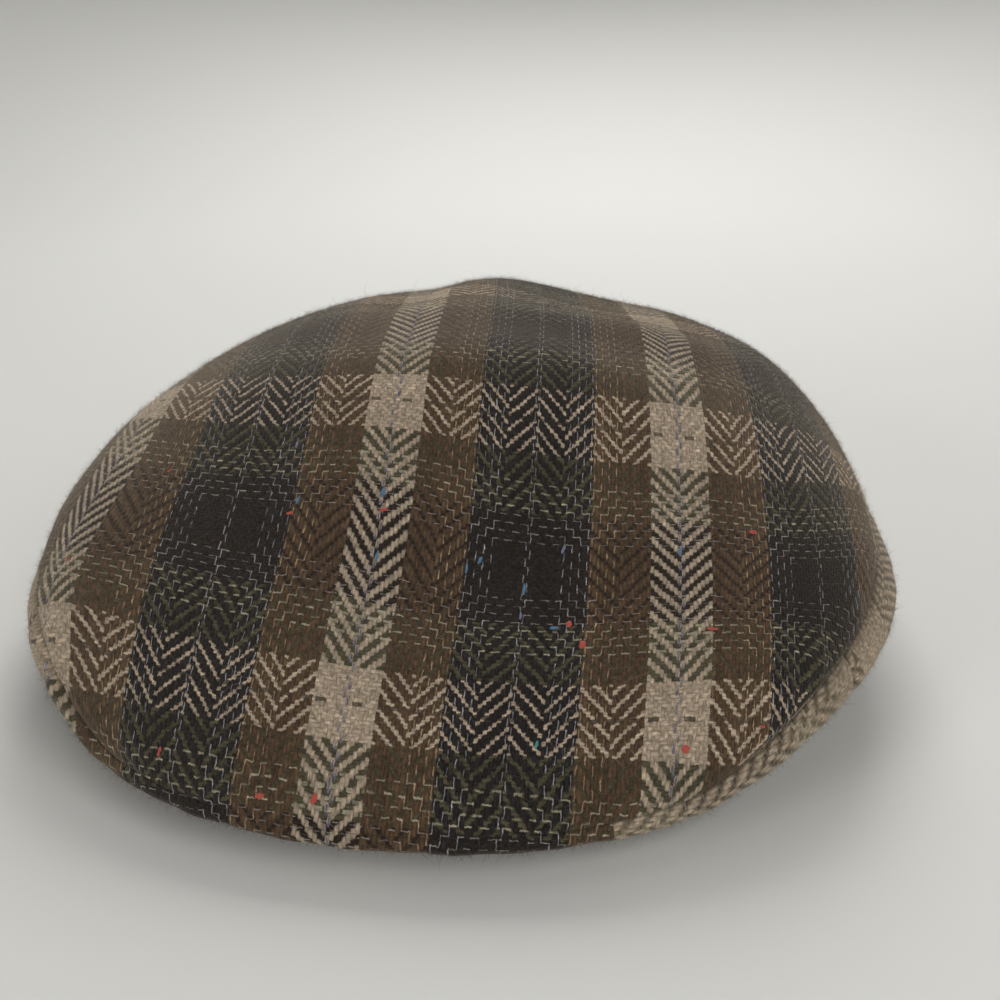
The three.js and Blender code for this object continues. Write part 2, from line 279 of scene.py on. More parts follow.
def tweed():
    """Cloth that draws its yarns from the attribute "threads", which counts ends in x and picks in y.

    End i and pick j cross with the warp on top where (j - s) mod 4 is under 2. The step s climbs with
    the end through eight ends, then falls through the next eight, which makes the herringbone. Each float
    leans along the bar that it lies in, so the bars run almost straight. The dark warp is the stouter one
    and spreads over the picks. Fulling has felted the dark yarns together more than the cream ones.
    """
    material = bpy.data.materials.new("herringbone_tweed")
    material.use_nodes = True
    tree = material.node_tree
    shader = tree.nodes["Principled BSDF"]
    attribute = tree.nodes.new("ShaderNodeAttribute")
    attribute.attribute_name = "threads"
    threads = attribute.outputs["Vector"]

    def parts(socket):
        node = tree.nodes.new("ShaderNodeSeparateXYZ")
        tree.links.new(socket, node.inputs[0])
        return [Reading(tree, node.outputs[axis]) for axis in range(3)]

    # Hairy yarns have no clean edge: each thread wavers, and its edge is frayed
    waver = parts(cloth_noise(tree, threads, (0.35, 0.35), 1.0).outputs["Color"])
    fray = parts(cloth_noise(tree, threads, (1.9, 1.6), 3.0).outputs["Color"])
    plain = parts(threads)
    matted = plain[2]
    end, pick = [p + (w - 0.5) * WAVER + (f - 0.5) * FRAY for p, w, f in zip(plain[:2], waver, fray)]
    end_number, pick_number = end.floor(), pick.floor()
    across_end, across_pick = end - end_number, pick - pick_number

    block = (end_number * (1 / TURN_ENDS)).floor()
    within = end_number - block * TURN_ENDS
    falls = block.math("FLOORED_MODULO", 2.0)
    step = within + falls * (within * -2 + (TURN_ENDS + 1))
    climb = (across_end - 0.5) * (falls * -2 + 1)
    float_middle = (pick - step - climb * FLOAT_LEAN + 1).math("FLOORED_MODULO", 4.0)
    float_middle = (float_middle - 2).math("ABSOLUTE")
    warp_place = (end_number + 0.5).math("PINGPONG", float(WARP_HALF))
    weft_place = pick_number.math("PINGPONG", float(WEFT_HALF))
    cream_warp, cream_weft = warp_place.below(CREAM_ENDS), weft_place.below(CREAM_PICKS - 0.5)
    brown_warp, moss_weft = warp_place.below(BROWN_ENDS), weft_place.below(MOSS_PICKS - 0.5)
    bold_cover = choose(brown_warp, BROWN_BOLD_COVER, NAVY_BOLD_COVER)
    cover = choose(cream_weft, bold_cover, choose(brown_warp, BROWN_COVER, NAVY_COVER))
    cover = choose(cream_warp, matted * 0.45 + CREAM_COVER, cover)
    felt = Reading(tree, cloth_noise(tree, threads, (0.9, 0.9), 4.0).outputs["Fac"])
    felting = choose(cream_warp.math("MAXIMUM", cream_weft), 0.6, 2.2)
    over = (float_middle - cover + (felt - 0.5) * felting) * (matted * -0.75 + 1)
    # The dark pick in the middle of a cream stripe is sunk among the cream ends but for two dashes
    dark_pick = weft_place.below(0.5) * cream_warp
    from_stripe = (end + WARP_HALF).math("FLOORED_MODULO", 2.0 * WARP_HALF) - WARP_HALF
    dash = (from_stripe - 3.1).math("WRAP", 4.5, -4.5).math("ABSOLUTE").below(1.35)
    dash = dash * dark_pick * (matted * -1 + 1)
    warp_up = over.rise(0.2, -0.2) * (dash * -1 + 1)

    # Warp: cream, brown and navy. Weft: one dark pick in a cream stripe, then moss and umber
    warp_share = warp_place * (1 / WARP_HALF)
    brown_from, navy_from = CREAM_ENDS / WARP_HALF, BROWN_ENDS / WARP_HALF
    warp_ground = yarn_bands(tree, warp_share, [(0, CREAM), (brown_from, BROWN), (navy_from, NAVY)])
    warp_fancy = yarn_bands(tree, warp_share, [(0, SLATE), (brown_from, TAN), (navy_from, MIST)])
    picks = WEFT_HALF + 1
    weft_share = (weft_place + dark_pick - dash + 0.5) * (1 / picks)
    cream_from, moss_from, umber_from = 1 / picks, CREAM_PICKS / picks, MOSS_PICKS / picks
    weft_bands = [(0, DASH), (cream_from, DIM_CREAM), (moss_from, MOSS), (umber_from, UMBER)]
    weft_ground = yarn_bands(tree, weft_share, weft_bands)
    weft_fancy = yarn_bands(tree, weft_share, [(0, OAT), (umber_from, ASH)])

    # Thin fancy ends in the middle of each stripe and where two meet, every other one, and fancy picks
    # where moss and umber meet. They lie on top of the stouter yarns, so their floats join in steps
    warp_beside = (across_end - 0.5).math("ABSOLUTE") * 2
    warp_odd = (warp_place.floor() + brown_warp).math("FLOORED_MODULO", 2.0).below(0.5)
    warp_fancy_end = warp_odd * warp_place.between(*FANCY_ENDS) + warp_place.below(1.0) * (matted * -1 + 1)
    warp_fancy_end = warp_fancy_end + warp_place.between(*MIDDLE_ENDS)
    warp_narrow = warp_beside - cream_warp * SLATE_EXTRA - FANCY_WIDTH
    warp_float = ((pick - step + 1.5).math("FLOORED_MODULO", 4.0) - 2).math("ABSOLUTE")
    warp_showing = yarn_shade(tree, end_number, ((pick - step - 0.5) * 0.25).floor()) * 0.75 + 0.4
    warp_accent = warp_fancy_end * warp_narrow.rise(0.12, -0.12) * warp_float.rise(1.1, 0.95)
    warp_accent = (warp_accent * warp_showing).math("MINIMUM", 1.0)
    weft_beside = (across_pick - 0.5).math("ABSOLUTE") * 2
    weft_even = (weft_place + 0.5).floor().math("FLOORED_MODULO", 2.0).below(0.5)
    weft_narrow = weft_beside - (moss_weft * (cream_warp * OAT_ON_CREAM + OAT_EXTRA) + ASH_WIDTH)
    weft_float = ((pick_number - step - climb).math("FLOORED_MODULO", 4.0) - 2).math("ABSOLUTE")
    weft_showing = yarn_shade(tree, pick_number, ((pick_number - step - climb) * 0.25).floor()) * 0.75 + 0.4
    weft_accent = weft_even * weft_place.between(*FANCY_PICKS) * weft_narrow.rise(0.12, -0.12)
    weft_accent = (weft_accent * weft_float.rise(1.1, 0.95) * weft_showing).math("MINIMUM", 1.0)

    # The yarn on top, and its round section: full in the middle, low at its edges and float ends
    ground_colour = blend_colour(tree, warp_up, weft_ground, warp_ground)
    yarn_colour = blend_colour(tree, weft_accent, ground_colour, weft_fancy)
    yarn_colour = blend_colour(tree, warp_accent, yarn_colour, warp_fancy)
    beside = choose(warp_up, warp_beside, weft_beside)
    warp_run = float_middle.math("DIVIDE", cover)
    weft_run = (float_middle * -1 + 2).math("DIVIDE", cover * -1 + 2)
    run = choose(warp_up, warp_run, weft_run)
    arch = (run * run * -1 + 1).math("MAXIMUM", 0.0)
    relief = (beside * beside * -0.9 + 1).math("SQRT") * (arch * 0.5 + 0.5)
    relief = relief.math("MAXIMUM", warp_accent).math("MAXIMUM", weft_accent)

    # Wool: fibres run along the yarn, and no two yarns or floats took the dye alike. The colour also
    # carries painted shade, darker towards each yarn's edges and float ends, where shade falls between the
    # yarns
    warp_fibre = Reading(tree, cloth_noise(tree, threads, (3.2, 0.8), 3.0).outputs["Fac"])
    weft_fibre = Reading(tree, cloth_noise(tree, threads, (0.8, 3.2), 3.0).outputs["Fac"])
    fibre = choose(warp_up, warp_fibre, weft_fibre)
    yarn = yarn_shade(tree, choose(warp_up, end_number, pick_number), warp_up)
    float_shade = yarn_shade(tree, end_number, (pick_number - step) * 0.5)
    bloom = Reading(tree, cloth_noise(tree, threads, (0.06, 0.06), 3.0).outputs["Fac"])
    yarn_tone = (fibre * 1.8 + 0.1) * (yarn * 0.3 + 0.85) * (float_shade * 0.3 + 0.85)
    yarn_tone = yarn_tone * (felt * 1.3 + 0.35) * (bloom * 0.5 + 0.75)
    # Painted shade: the colour is darkened where the yarn's section falls away, at its edges and float ends
    shade = yarn_tone * (relief * 0.62 + 0.46)
    tone_and_painted_shade = tree.nodes.new("ShaderNodeCombineColor")
    for place in tone_and_painted_shade.inputs[:3]:
        tree.links.new(shade.socket, place)
    cloth_colour_and_painted_shade = blend_colour(tree, 1.0, yarn_colour, tone_and_painted_shade.outputs[0], "MULTIPLY")
    tree.links.new(cloth_colour_and_painted_shade, shader.inputs["Base Color"])

    bump = tree.nodes.new("ShaderNodeBump")
    bump.inputs["Strength"].default_value = 0.55
    bump.inputs["Distance"].default_value = 0.35 * MM
    height = relief * 0.8 + fibre * 0.45
    tree.links.new(height.socket, bump.inputs["Height"])
    tree.links.new(bump.outputs["Normal"], shader.inputs["Normal"])
    shader.inputs["Roughness"].default_value = 0.95
    shader.inputs["Specular IOR Level"].default_value = 0.08
    shader.inputs["Sheen Weight"].default_value = 0.24
    shader.inputs["Sheen Roughness"].default_value = 0.45
    shader.inputs["Sheen Tint"].default_value = (0.95, 0.84, 0.7, 1)
    return material


herringbone_tweed = tweed()

# Top panel
# One wide piece of the tweed, drawn from the back of the head down over the peak and sewn all round to
# the pieces below. It lies soft: a steep flat front, a brow, a shelf behind it and a low crest.
SEAM_HALF_WIDTH, SEAM_FRONT_REACH, SEAM_BACK_REACH, SEAM_POWER, WIDEST_Y = 110.0, 108.0, 156.0, 2.2, -24.5
TOP_HEIGHT, TOP_FROM_FRONT, FRONT_RISE_POWER = 86.0, 138.0, 0.9
BACK_FALL_POWER, BACK_ROUND_POWER = 2.4, 0.68
CLOTH_WALL = 1.8
SEAM_ROLL_DEPTH, SEAM_ROLL_REACH = 1.0, 1.4
CROWN_SECTORS, CROWN_RINGS = 320, 120

# Ring angle from the front in degrees; height of the seam; how the wall below swells, tucks and ends
STATIONS = {
    "angle": np.array([0.0, 30.0, 60.0, 90.0, 135.0, 180.0]),
    "seam_z": np.array([12.0, 14.0, 29.0, 34.5, 38.5, 41.0]),
    "swell_out": np.array([6.0, 6.0, 13.5, 22.0, 14.0, 8.0]),
    "swell_down": np.array([7.0, 8.0, 12.0, 14.0, 14.0, 14.0]),
    "tuck_in": np.array([15.0, 16.0, 19.0, 21.0, 14.0, 9.0]),
    "tuck_down": np.array([9.0, 10.0, 18.0, 21.0, 22.0, 24.0]),
    "hem_z": np.array([8.0, 6.0, 0.0, 0.0, 0.0, 0.0]),
}

# Soft folds: centre x and y, half width, half length, lift
FOLDS = {
    "crest": (-2, 40, 16, 45, 2.4),
    "hollow left of the crest": (36, 40, 18, 40, -2.5),
    "hollow right of the crest": (-24, 42, 10, 35, -1.8),
    "left shoulder": (84, 28, 16, 40, 2.7),
    "right slope": (-85, 15, 16, 32, -1.3),
    "brow": (15, -38, 62, 20, 5.3),
    "flat front": (10, -88, 60, 26, -6.2),
    "shelf behind the brow": (38, -2, 42, 17, 3.2),
    "right of the shelf": (-45, -5, 32, 28, 1.6),
    "right front": (-55, -62, 32, 30, -1.4),
    "left front": (70, -60, 28, 30, -2.9),
}

# Where the cloth lies slack or tight: centre x and y, half width, half length, picks that it lacks
SLACK_PLACES = {
    "left of the brow": (58, -18, 30, 20, 8.4),
    "flat front": (-12, -75, 30, 25, 6.1),
    "right front": (-92, -70, 24, 22, -5),
    "left front": (92, -70, 22, 30, -8),
}


def at_station(column, angle):
    """A column of the stations at any ring angle: cubics between rows, level at the ends, no overshoot."""
    place, value = STATIONS["angle"], STATIONS[column]
    span, change = np.diff(place), np.diff(value)
    rate = change / span
    product = rate[:-1] * rate[1:]
    mean = 2 * product / np.where(product > 0, rate[:-1] + rate[1:], 1)
    slope = np.concatenate([[0], np.where(product > 0, mean, 0), [0]])
    turn = np.minimum(np.abs(angle), 180)
    row = np.clip(np.searchsorted(place, turn) - 1, 0, len(span) - 1)
    t = (turn - place[row]) / span[row]
    bend = (slope[row] * span[row] - change[row]) * (1 - t) - (slope[row + 1] * span[row] - change[row]) * t
    return value[row] + change[row] * t + t * (1 - t) * bend


def signed_power(value, power):
    return np.sign(value) * np.abs(value) ** power


def seam_plan(angle):
    """Plan point of the seam at a ring angle: two half superellipses that meet at the widest station."""
    across, along = np.sin(np.radians(angle)), -np.cos(np.radians(angle))
    reach = np.where(along < 0, SEAM_FRONT_REACH, SEAM_BACK_REACH)
    x = SEAM_HALF_WIDTH * signed_power(across, 2 / SEAM_POWER)
    y = WIDEST_Y + reach * signed_power(along, 2 / SEAM_POWER)
    return np.stack([x, y], -1)


def along_ring(y):
    """How far a row lies from the widest station, 0, to the front or back of the ring, 1."""
    return np.minimum(np.abs(y - WIDEST_Y) / np.where(y < WIDEST_Y, SEAM_FRONT_REACH, SEAM_BACK_REACH), 1)


def seam_height(y):
    """Height of the seam where the ring crosses a row."""
    turn = np.degrees(np.arccos(along_ring(y) ** (SEAM_POWER / 2)))
    return at_station("seam_z", np.where(y < WIDEST_Y, turn, 180 - turn))


def half_width(y):
    """Half the width of the ring at a row."""
    return SEAM_HALF_WIDTH * np.maximum(1 - along_ring(y) ** SEAM_POWER, 0) ** (1 / SEAM_POWER)


def centre_height(y):
    """Centre line: climbs from the front seam to the top, then rounds down to the back seam."""
    from_front = y - (WIDEST_Y - SEAM_FRONT_REACH)
    length = SEAM_FRONT_REACH + SEAM_BACK_REACH
    front_z, back_z = STATIONS["seam_z"][[0, -1]]
    short = np.clip(1 - from_front / TOP_FROM_FRONT, 0, 1)
    past = np.clip((from_front - TOP_FROM_FRONT) / (length - TOP_FROM_FRONT), 0, 1)
    climb = front_z + (TOP_HEIGHT - front_z) * (1 - short**2) ** FRONT_RISE_POWER
    fall = back_z + (TOP_HEIGHT - back_z) * (1 - past**BACK_FALL_POWER) ** BACK_ROUND_POWER
    return np.where(from_front < TOP_FROM_FRONT, climb, fall)


def crown_height(x, y):
    """Crown over a plan point: each row is a half ellipse from seam to seam, plus the folds."""
    across = np.abs(x) / np.maximum(half_width(y), 1e-6)
    arch = np.sqrt(np.maximum(1 - across**2, 0))
    seam = seam_height(y)
    height = seam + (centre_height(y) - seam) * arch
    fade = arch * np.sqrt(1 - along_ring(y) ** 6)
    for fold_x, fold_y, half_x, half_y, lift in FOLDS.values():
        fold = np.exp(-(((x - fold_x) / half_x) ** 2) - ((y - fold_y) / half_y) ** 2)
        height = height + lift * fade * fold
    return height


def smooth_step(value, low, high):
    """0 up to low, 1 from high, an S curve between."""
    t = np.clip((value - low) / (high - low), 0, 1)
    return t * t * (3 - 2 * t)


def steps_along(points, axis):
    """Running length along one direction of a grid, from its first point."""
    steps = np.linalg.norm(np.diff(points, axis=axis), axis=-1)
    start = np.zeros_like(np.take(steps, [0], axis))
    return np.concatenate([start, np.cumsum(steps, axis)], axis)


def grid_normals(points, wraps):
    """Unit normals of a grid: the cross product of its steps along the two directions."""
    along = np.roll(points, -1, 0) - np.roll(points, 1, 0) if wraps else np.gradient(points, axis=0)
    normal = np.cross(np.gradient(points, axis=1), along)
    return normal / np.maximum(np.linalg.norm(normal, axis=-1, keepdims=True), 1e-12)


def beside_seam(distance):
    """How far gathers swell at a distance from the seam: nothing on it, most at 4 mm, then less."""
    return (1 - np.exp(-((distance / 2) ** 2))) * np.exp(-(((distance - 4) / 7) ** 2))


def pucker(arc):
    """Small gathers along a seam: a sum of three waves over its length in millimetres."""
    return 0.45 * np.sin(arc / 2.9) + 0.35 * np.sin(arc / 1.75 + 1.3) + 0.3 * np.sin(arc / 5.3 + 0.4)


def crown_threads(x, y):
    """Ends and picks over a plan point.

    Ends count the arc of the half ellipse across a row, with a slow lean and bow of the warp. Picks count
    the arc of the centre line, read at a row that the cloth's bow and skew shift, less the picks that
    the slack places lack.
    """
    bend, weight = np.polynomial.legendre.leggauss(12)
    width = np.maximum(half_width(y), 1e-6)
    rise = centre_height(y) - seam_height(y)
    swing = np.arcsin(np.clip(x / width, -1, 1))
    swings = swing[..., None] * (bend + 1) / 2
    speed = np.hypot(width[..., None] * np.cos(swings), rise[..., None] * np.sin(swings))
    across = swing * (speed * weight / 2).sum(-1)
    a, b = x / 110, (y - 10) / 100
    b = np.where(b > 0.5, 0.5 + 0.3 * np.tanh((b - 0.5) / 0.3), b)
    end = across / END_PITCH + 18.4 + 14.2 * b + 6.8 * a**2 + 6.5 * b**2 - 8.8 * a**3
    end = end + 9 * np.maximum(a, 0) ** 8 + 7 * np.exp(-(((x + 88) / 18) ** 2) - ((y + 85) / 22) ** 2)
    row = y - 36.3 * a**2 + 14.4 * a - 11.8 * a**4 + 8.7 * a * b - 4.0 * a**3 - 3.3 * b**2 - 9.2 * a**2 * b
    line_y = np.linspace(WIDEST_Y - SEAM_FRONT_REACH, WIDEST_Y + SEAM_BACK_REACH, 3001)
    line = np.stack([line_y, centre_height(line_y)], -1)
    arc = np.interp(row, line_y, steps_along(line, 0)) + np.minimum(row - line_y[0], 0)
    pick = arc / PICK_PITCH - 16.6
    for place_x, place_y, half_x, half_y, lack in SLACK_PLACES.values():
        pick = pick - lack * np.exp(-(((x - place_x) / half_x) ** 2) - ((y - place_y) / half_y) ** 2)
    return np.stack([end, pick, np.zeros_like(end)], -1)


def seam_roll(angle, distance):
    """How far the cloth rolls in, level, to the seam: a bell curve that dies out at the front."""
    plan = seam_plan(angle)
    outward = plan / np.linalg.norm(plan, axis=-1, keepdims=True)
    depth = SEAM_ROLL_DEPTH * smooth_step(np.abs(angle), 22, 50)[:, None]
    roll = depth * np.exp(-((distance / SEAM_ROLL_REACH) ** 2))
    return outward[:, None] * roll[..., None]


def run_on_to_seam(threads, reach, turn_down):
    """Threads of the last stretch before the seam: from turn_down they run straight on at full pitch."""
    row = np.arange(len(threads))
    ring = np.argmin(np.abs(reach - turn_down), 1)
    pitch = np.array([END_PITCH, PICK_PITCH, 1.0])
    edge = threads[row, ring]
    step = (edge - threads[row, ring - 4]) * pitch
    step = step / np.linalg.norm(step, axis=-1, keepdims=True) / pitch
    ahead = reach[row, ring][:, None] - reach
    straight = edge[:, None] + step[:, None] * ahead[..., None]
    share = smooth_step(reach, 0.4 * turn_down, turn_down)[..., None]
    return threads * share + straight * (1 - share)


def crown_surface():
    """Outer face of the top panel as a grid of ring angle by lean from the middle, and its threads.

    A table of ring angle, threads at the rim and their change for each millimetre past it comes with them.
    The plan point is the seam point drawn in by the sine of the lean. Near the seam the cloth rolls in to
    the stitching by a bell curve of the distance from the seam, with small gathers.
    """
    angle = np.linspace(-180, 180, CROWN_SECTORS, endpoint=False)
    lean = np.pi / 2 * (1 - (1 - np.linspace(0, 1, CROWN_RINGS + 1)) ** 1.35)
    plan = seam_plan(angle)[:, None, :] * np.sin(lean)[None, :, None]
    x, y = plan[..., 0], plan[..., 1]
    points = np.concatenate([plan, crown_height(x, y)[..., None]], -1)
    points[:, -1, 2] = at_station("seam_z", angle)
    normal = grid_normals(points, True)
    normal[:, 0] = (0, 0, 1)
    reach = steps_along(points[:, ::-1], 1)[:, ::-1]
    ring = steps_along(np.concatenate([points[:, -1], points[:1, -1]]), 0)[:-1]
    gather = 0.3 * pucker(ring)[:, None] * beside_seam(reach)
    ripple = 0.22 * np.sin(x / 9 + y / 17) * np.sin(y / 11 - x / 23) * np.clip(reach / 20, 0, 1)
    points = points + normal * (gather + ripple)[..., None]
    points[..., :2] -= seam_roll(angle, reach)
    threads = run_on_to_seam(crown_threads(x, y), reach, 14.0)
    rim_step = (threads[:, -1] - threads[:, -6]) / (reach[:, -6] - reach[:, -1])[:, None]
    return points, threads, np.concatenate([angle[:, None], threads[:, -1], rim_step], -1)


def ring_by_ring(skin):
    """Values of a domed grid in the order of its points: the middle once, then each ring."""
    return np.concatenate([skin[:1, 0], skin[:, 1:].transpose(1, 0, 2).reshape(-1, 3)])


def domed_shell(outer, inner):
    """Points and faces of two domed skins, each with one middle point, joined round their rims."""
    sectors, rings = outer.shape[0], outer.shape[1] - 1
    start = sectors * rings + 1
    ring = 1 + np.arange(sectors * rings).reshape(rings, sectors)
    after = np.roll(ring, -1, 1)
    fan = np.stack([np.zeros(sectors, int), ring[0], after[0]], -1)
    quads = np.stack([ring[:-1], ring[1:], after[1:], after[:-1]], -1).reshape(-1, 4)
    rim = np.stack([ring[-1], ring[-1] + start, after[-1] + start, after[-1]], -1)
    faces = fan.tolist() + quads.tolist() + rim.tolist()
    faces += (fan[:, ::-1] + start).tolist() + (quads[:, ::-1] + start).tolist()
    return np.concatenate([ring_by_ring(outer), ring_by_ring(inner)]), faces


def count_threads(piece, threads):
    """Stores ends and picks at each point of a piece, for the cloth to be drawn from."""
    layer = piece.data.attributes.new("threads", "FLOAT_VECTOR", "POINT")
    layer.data.foreach_set("vector", np.ascontiguousarray(threads, np.float32).ravel())


crown_outer, crown_count, crown_rim = crown_surface()
crown_inner = crown_outer - grid_normals(crown_outer, True) * CLOTH_WALL
crown_inner[:, 0] = crown_outer[:, 0] - (0, 0, CLOTH_WALL)
crown_points, crown_faces = domed_shell(crown_outer, crown_inner)
crown_top = new_piece("top_panel", crown_points, crown_faces, herringbone_tweed)
crown_skin_count = ring_by_ring(crown_count)
count_threads(crown_top, np.concatenate([crown_skin_count, crown_skin_count + (0, 2, 0)]))
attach(crown_top, "root")
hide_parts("crown_top")

# Side panels and peak
# Narrow pieces of the same tweed below the seam, cut with the cream stripe along it. The two side panels
# meet in a seam at the back and end in a turned hem. The peak is a stiff board under the same cloth.
OPENING_HALF_WIDTH, OPENING_HALF_LENGTH, OPENING_CENTRE_Y = 82.0, 100.0, 14.5
TEMPLE_ANGLE = 60.0
SEAM_GAP = 0.06
HEM_WALL, HEM_FROM = 3.0, 0.72
WALL_STEPS, HEM_STEPS = 44, 8


def opening_inset(plan):
    """How far the oval head opening lies inside the seam, along the line from the origin."""
    length = np.linalg.norm(plan, axis=-1)
    out_x, out_y = (plan / length[..., None]).T
    square = (out_x / OPENING_HALF_WIDTH) ** 2 + (out_y / OPENING_HALF_LENGTH) ** 2
    cross = out_y * OPENING_CENTRE_Y / OPENING_HALF_LENGTH**2
    rest = (OPENING_CENTRE_Y / OPENING_HALF_LENGTH) ** 2 - 1
    return length - (cross + np.sqrt(cross**2 - square * rest)) / square


def wall_sections(angle):
    """Closed sections of the wall below the seam, one for each ring angle, and the threads over them.

    The outer line is a cubic from the seam that swells out, then tucks in to the hem. It rolls in to the
    seams at its top and ends by bell curves. The hem turns in a half circle, and the inner line runs back
    up.
    """
    t = np.linspace(0, 1, WALL_STEPS)
    plan = seam_plan(angle)
    outward = plan / np.linalg.norm(plan, axis=-1, keepdims=True)
    columns = [name for name in STATIONS if name != "angle"]
    stations = [at_station(name, angle)[:, None] for name in columns]
    seam_z, swell_out, swell_down, tuck_in, tuck_down, hem_z = stations
    inset = opening_inset(plan)[:, None]
    start, swell, tuck, end = (1 - t) ** 3, 3 * t * (1 - t) ** 2, 3 * t**2 * (1 - t), t**3
    out = swell * swell_out - tuck * tuck_in - end * inset
    z = start * (seam_z - SEAM_GAP) + swell * (seam_z - swell_down) + tuck * (seam_z - tuck_down)
    z = z + end * (hem_z + HEM_WALL / 2)
    outer = np.concatenate([plan[:, None] + outward[:, None] * out[..., None], z[..., None]], -1)
    below = steps_along(outer, 1)
    around = steps_along(outer, 0)
    ends = np.minimum(around, around[-1] - around)
    normal = grid_normals(outer, False)
    seam_line = around[:, :1]
    gather = 0.25 * pucker(seam_line) * beside_seam(below)
    end_roll = 0.9 * np.exp(-((ends / 1.3) ** 2)) * (1 - np.exp(-((below / 3) ** 2)))
    outer = outer + normal * (gather - end_roll)[..., None]
    outer[..., :2] -= seam_roll(angle, below)
    wall = CLOTH_WALL + (HEM_WALL - CLOTH_WALL) * smooth_step(t, HEM_FROM, HEM_FROM + 0.05)
    inner = outer - normal * wall[None, :, None]
    middle = (outer[:, -1:] + inner[:, -1:]) / 2
    half = outer[:, -1:] - middle
    down = outer[:, -1:] - outer[:, -2:-1]
    down = down / np.linalg.norm(down, axis=-1, keepdims=True)
    down = down * np.linalg.norm(half, axis=-1, keepdims=True)
    turn = np.linspace(0, np.pi, HEM_STEPS + 2)[1:-1, None]
    hem = middle + half * np.cos(turn) + down * np.sin(turn)
    return np.concatenate([outer, hem, inner[:, ::-1]], 1), below, seam_line


# End of the warp next to the seam: the cream stripe runs along it, then brown below
STRIPE_END = -3.0
# Ring angles between which the top panel's cloth runs on round the edge at the front
DRAWN_FROM, DRAWN_TO = -58.0, 23.0


def swept_wall(name, start, end, sections, row_angle):
    """Wall piece between two ring angles: its warp runs along the ring, with a cream row at one angle."""
    gap = SEAM_GAP / 2 / np.linalg.norm(seam_plan(np.array([end])) - seam_plan(np.array([end - 1.0])))
    cuts = [cut + by for cut in (DRAWN_FROM, DRAWN_TO) for by in (-0.005, 0.005) if start < cut < end]
    angle = np.sort(np.concatenate([np.linspace(start + gap, end - gap, sections), cuts]))
    loops, below, seam_line = wall_sections(angle)
    count, around = loops.shape[:2]
    corner = np.arange(count * around).reshape(count, around)
    after = np.roll(corner, -1, 1)
    sides = np.stack([corner[:-1], after[:-1], after[1:], corner[1:]], -1).reshape(-1, 4)
    half = np.arange(around // 2 - 1)
    rungs = np.stack([half, around - 1 - half, around - 2 - half, half + 1], -1)
    faces = sides.tolist() + corner[0][rungs].tolist() + corner[-1][rungs[:, ::-1]].tolist()
    piece = new_piece(name, loops, faces, herringbone_tweed)
    hem_depth = below[:, -1:] + np.linspace(0, 3, HEM_STEPS + 2)[1:-1]
    depth = np.concatenate([below, hem_depth, below[:, ::-1] + 3], 1)
    picks = (seam_line - np.interp(row_angle, angle, seam_line[:, 0])) / PICK_PITCH
    ends = STRIPE_END + depth / END_PITCH
    strip = np.stack([ends, np.broadcast_to(picks, ends.shape), np.ones_like(ends)], -1)
    rim = np.stack([np.interp(angle, crown_rim[:, 0], column) for column in crown_rim[:, 1:].T], -1)
    drawn = rim[:, None, :3] + rim[:, None, 3:] * depth[..., None]
    runs_on = (angle > DRAWN_FROM) & (angle < DRAWN_TO)
    threads = np.where(runs_on[:, None, None], drawn, strip)
    count_threads(piece, threads)
    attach(piece, "root")
    return piece, loops, threads


side_left, left_loops, left_count = swept_wall("left_side", TEMPLE_ANGLE, 180.0, 220, 100.0)
side_right, right_loops, right_count = swept_wall("right_side", -180.0, -TEMPLE_ANGLE, 220, -100.0)
peak, peak_loops, peak_count = swept_wall("covered_peak", -TEMPLE_ANGLE, TEMPLE_ANGLE, 220, 60.0)
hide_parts("side_panel_left")
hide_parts("side_panel_right")
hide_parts("peak")

# Nap
# Loose wool stands up from the fulled cloth all over it: short fibres, in the colour of the yarn that they
# come from, with a few long strays that bend over.
SHORT_ON_TOP, SHORT_ON_SIDE, STRAYS = 47000, 20000, 1500
SHORT_NAP, FINE_NAP, STRAY_NAP, WALL_NAP = 1.6, 1.2, 3.2, 1.5
FIBRE_RADIUS, ROOT_DEPTH, ABOVE_FLOOR = 0.028, 0.15, 0.1


def scattered(grid, wraps, count, random):
    """Function that reads any grid of values at places scattered evenly over the area of a surface grid."""
    next_row = np.roll(grid, -1, 0) if wraps else np.concatenate([grid[1:], grid[-1:]])
    area = np.linalg.norm(np.cross(next_row[:, :-1] - grid[:, :-1], grid[:, 1:] - grid[:, :-1]), axis=-1)
    row, column = np.unravel_index(random.choice(area.size, count, p=area.ravel() / area.sum()), area.shape)
    after = (row + 1) % len(grid)
    down, right = random.random((2, count, 1))

    def within(values):
        start = values[row, column] * (1 - down) + values[after, column] * down
        end = values[row, column + 1] * (1 - down) + values[after, column + 1] * down
        return start * (1 - right) + end * right

    return within


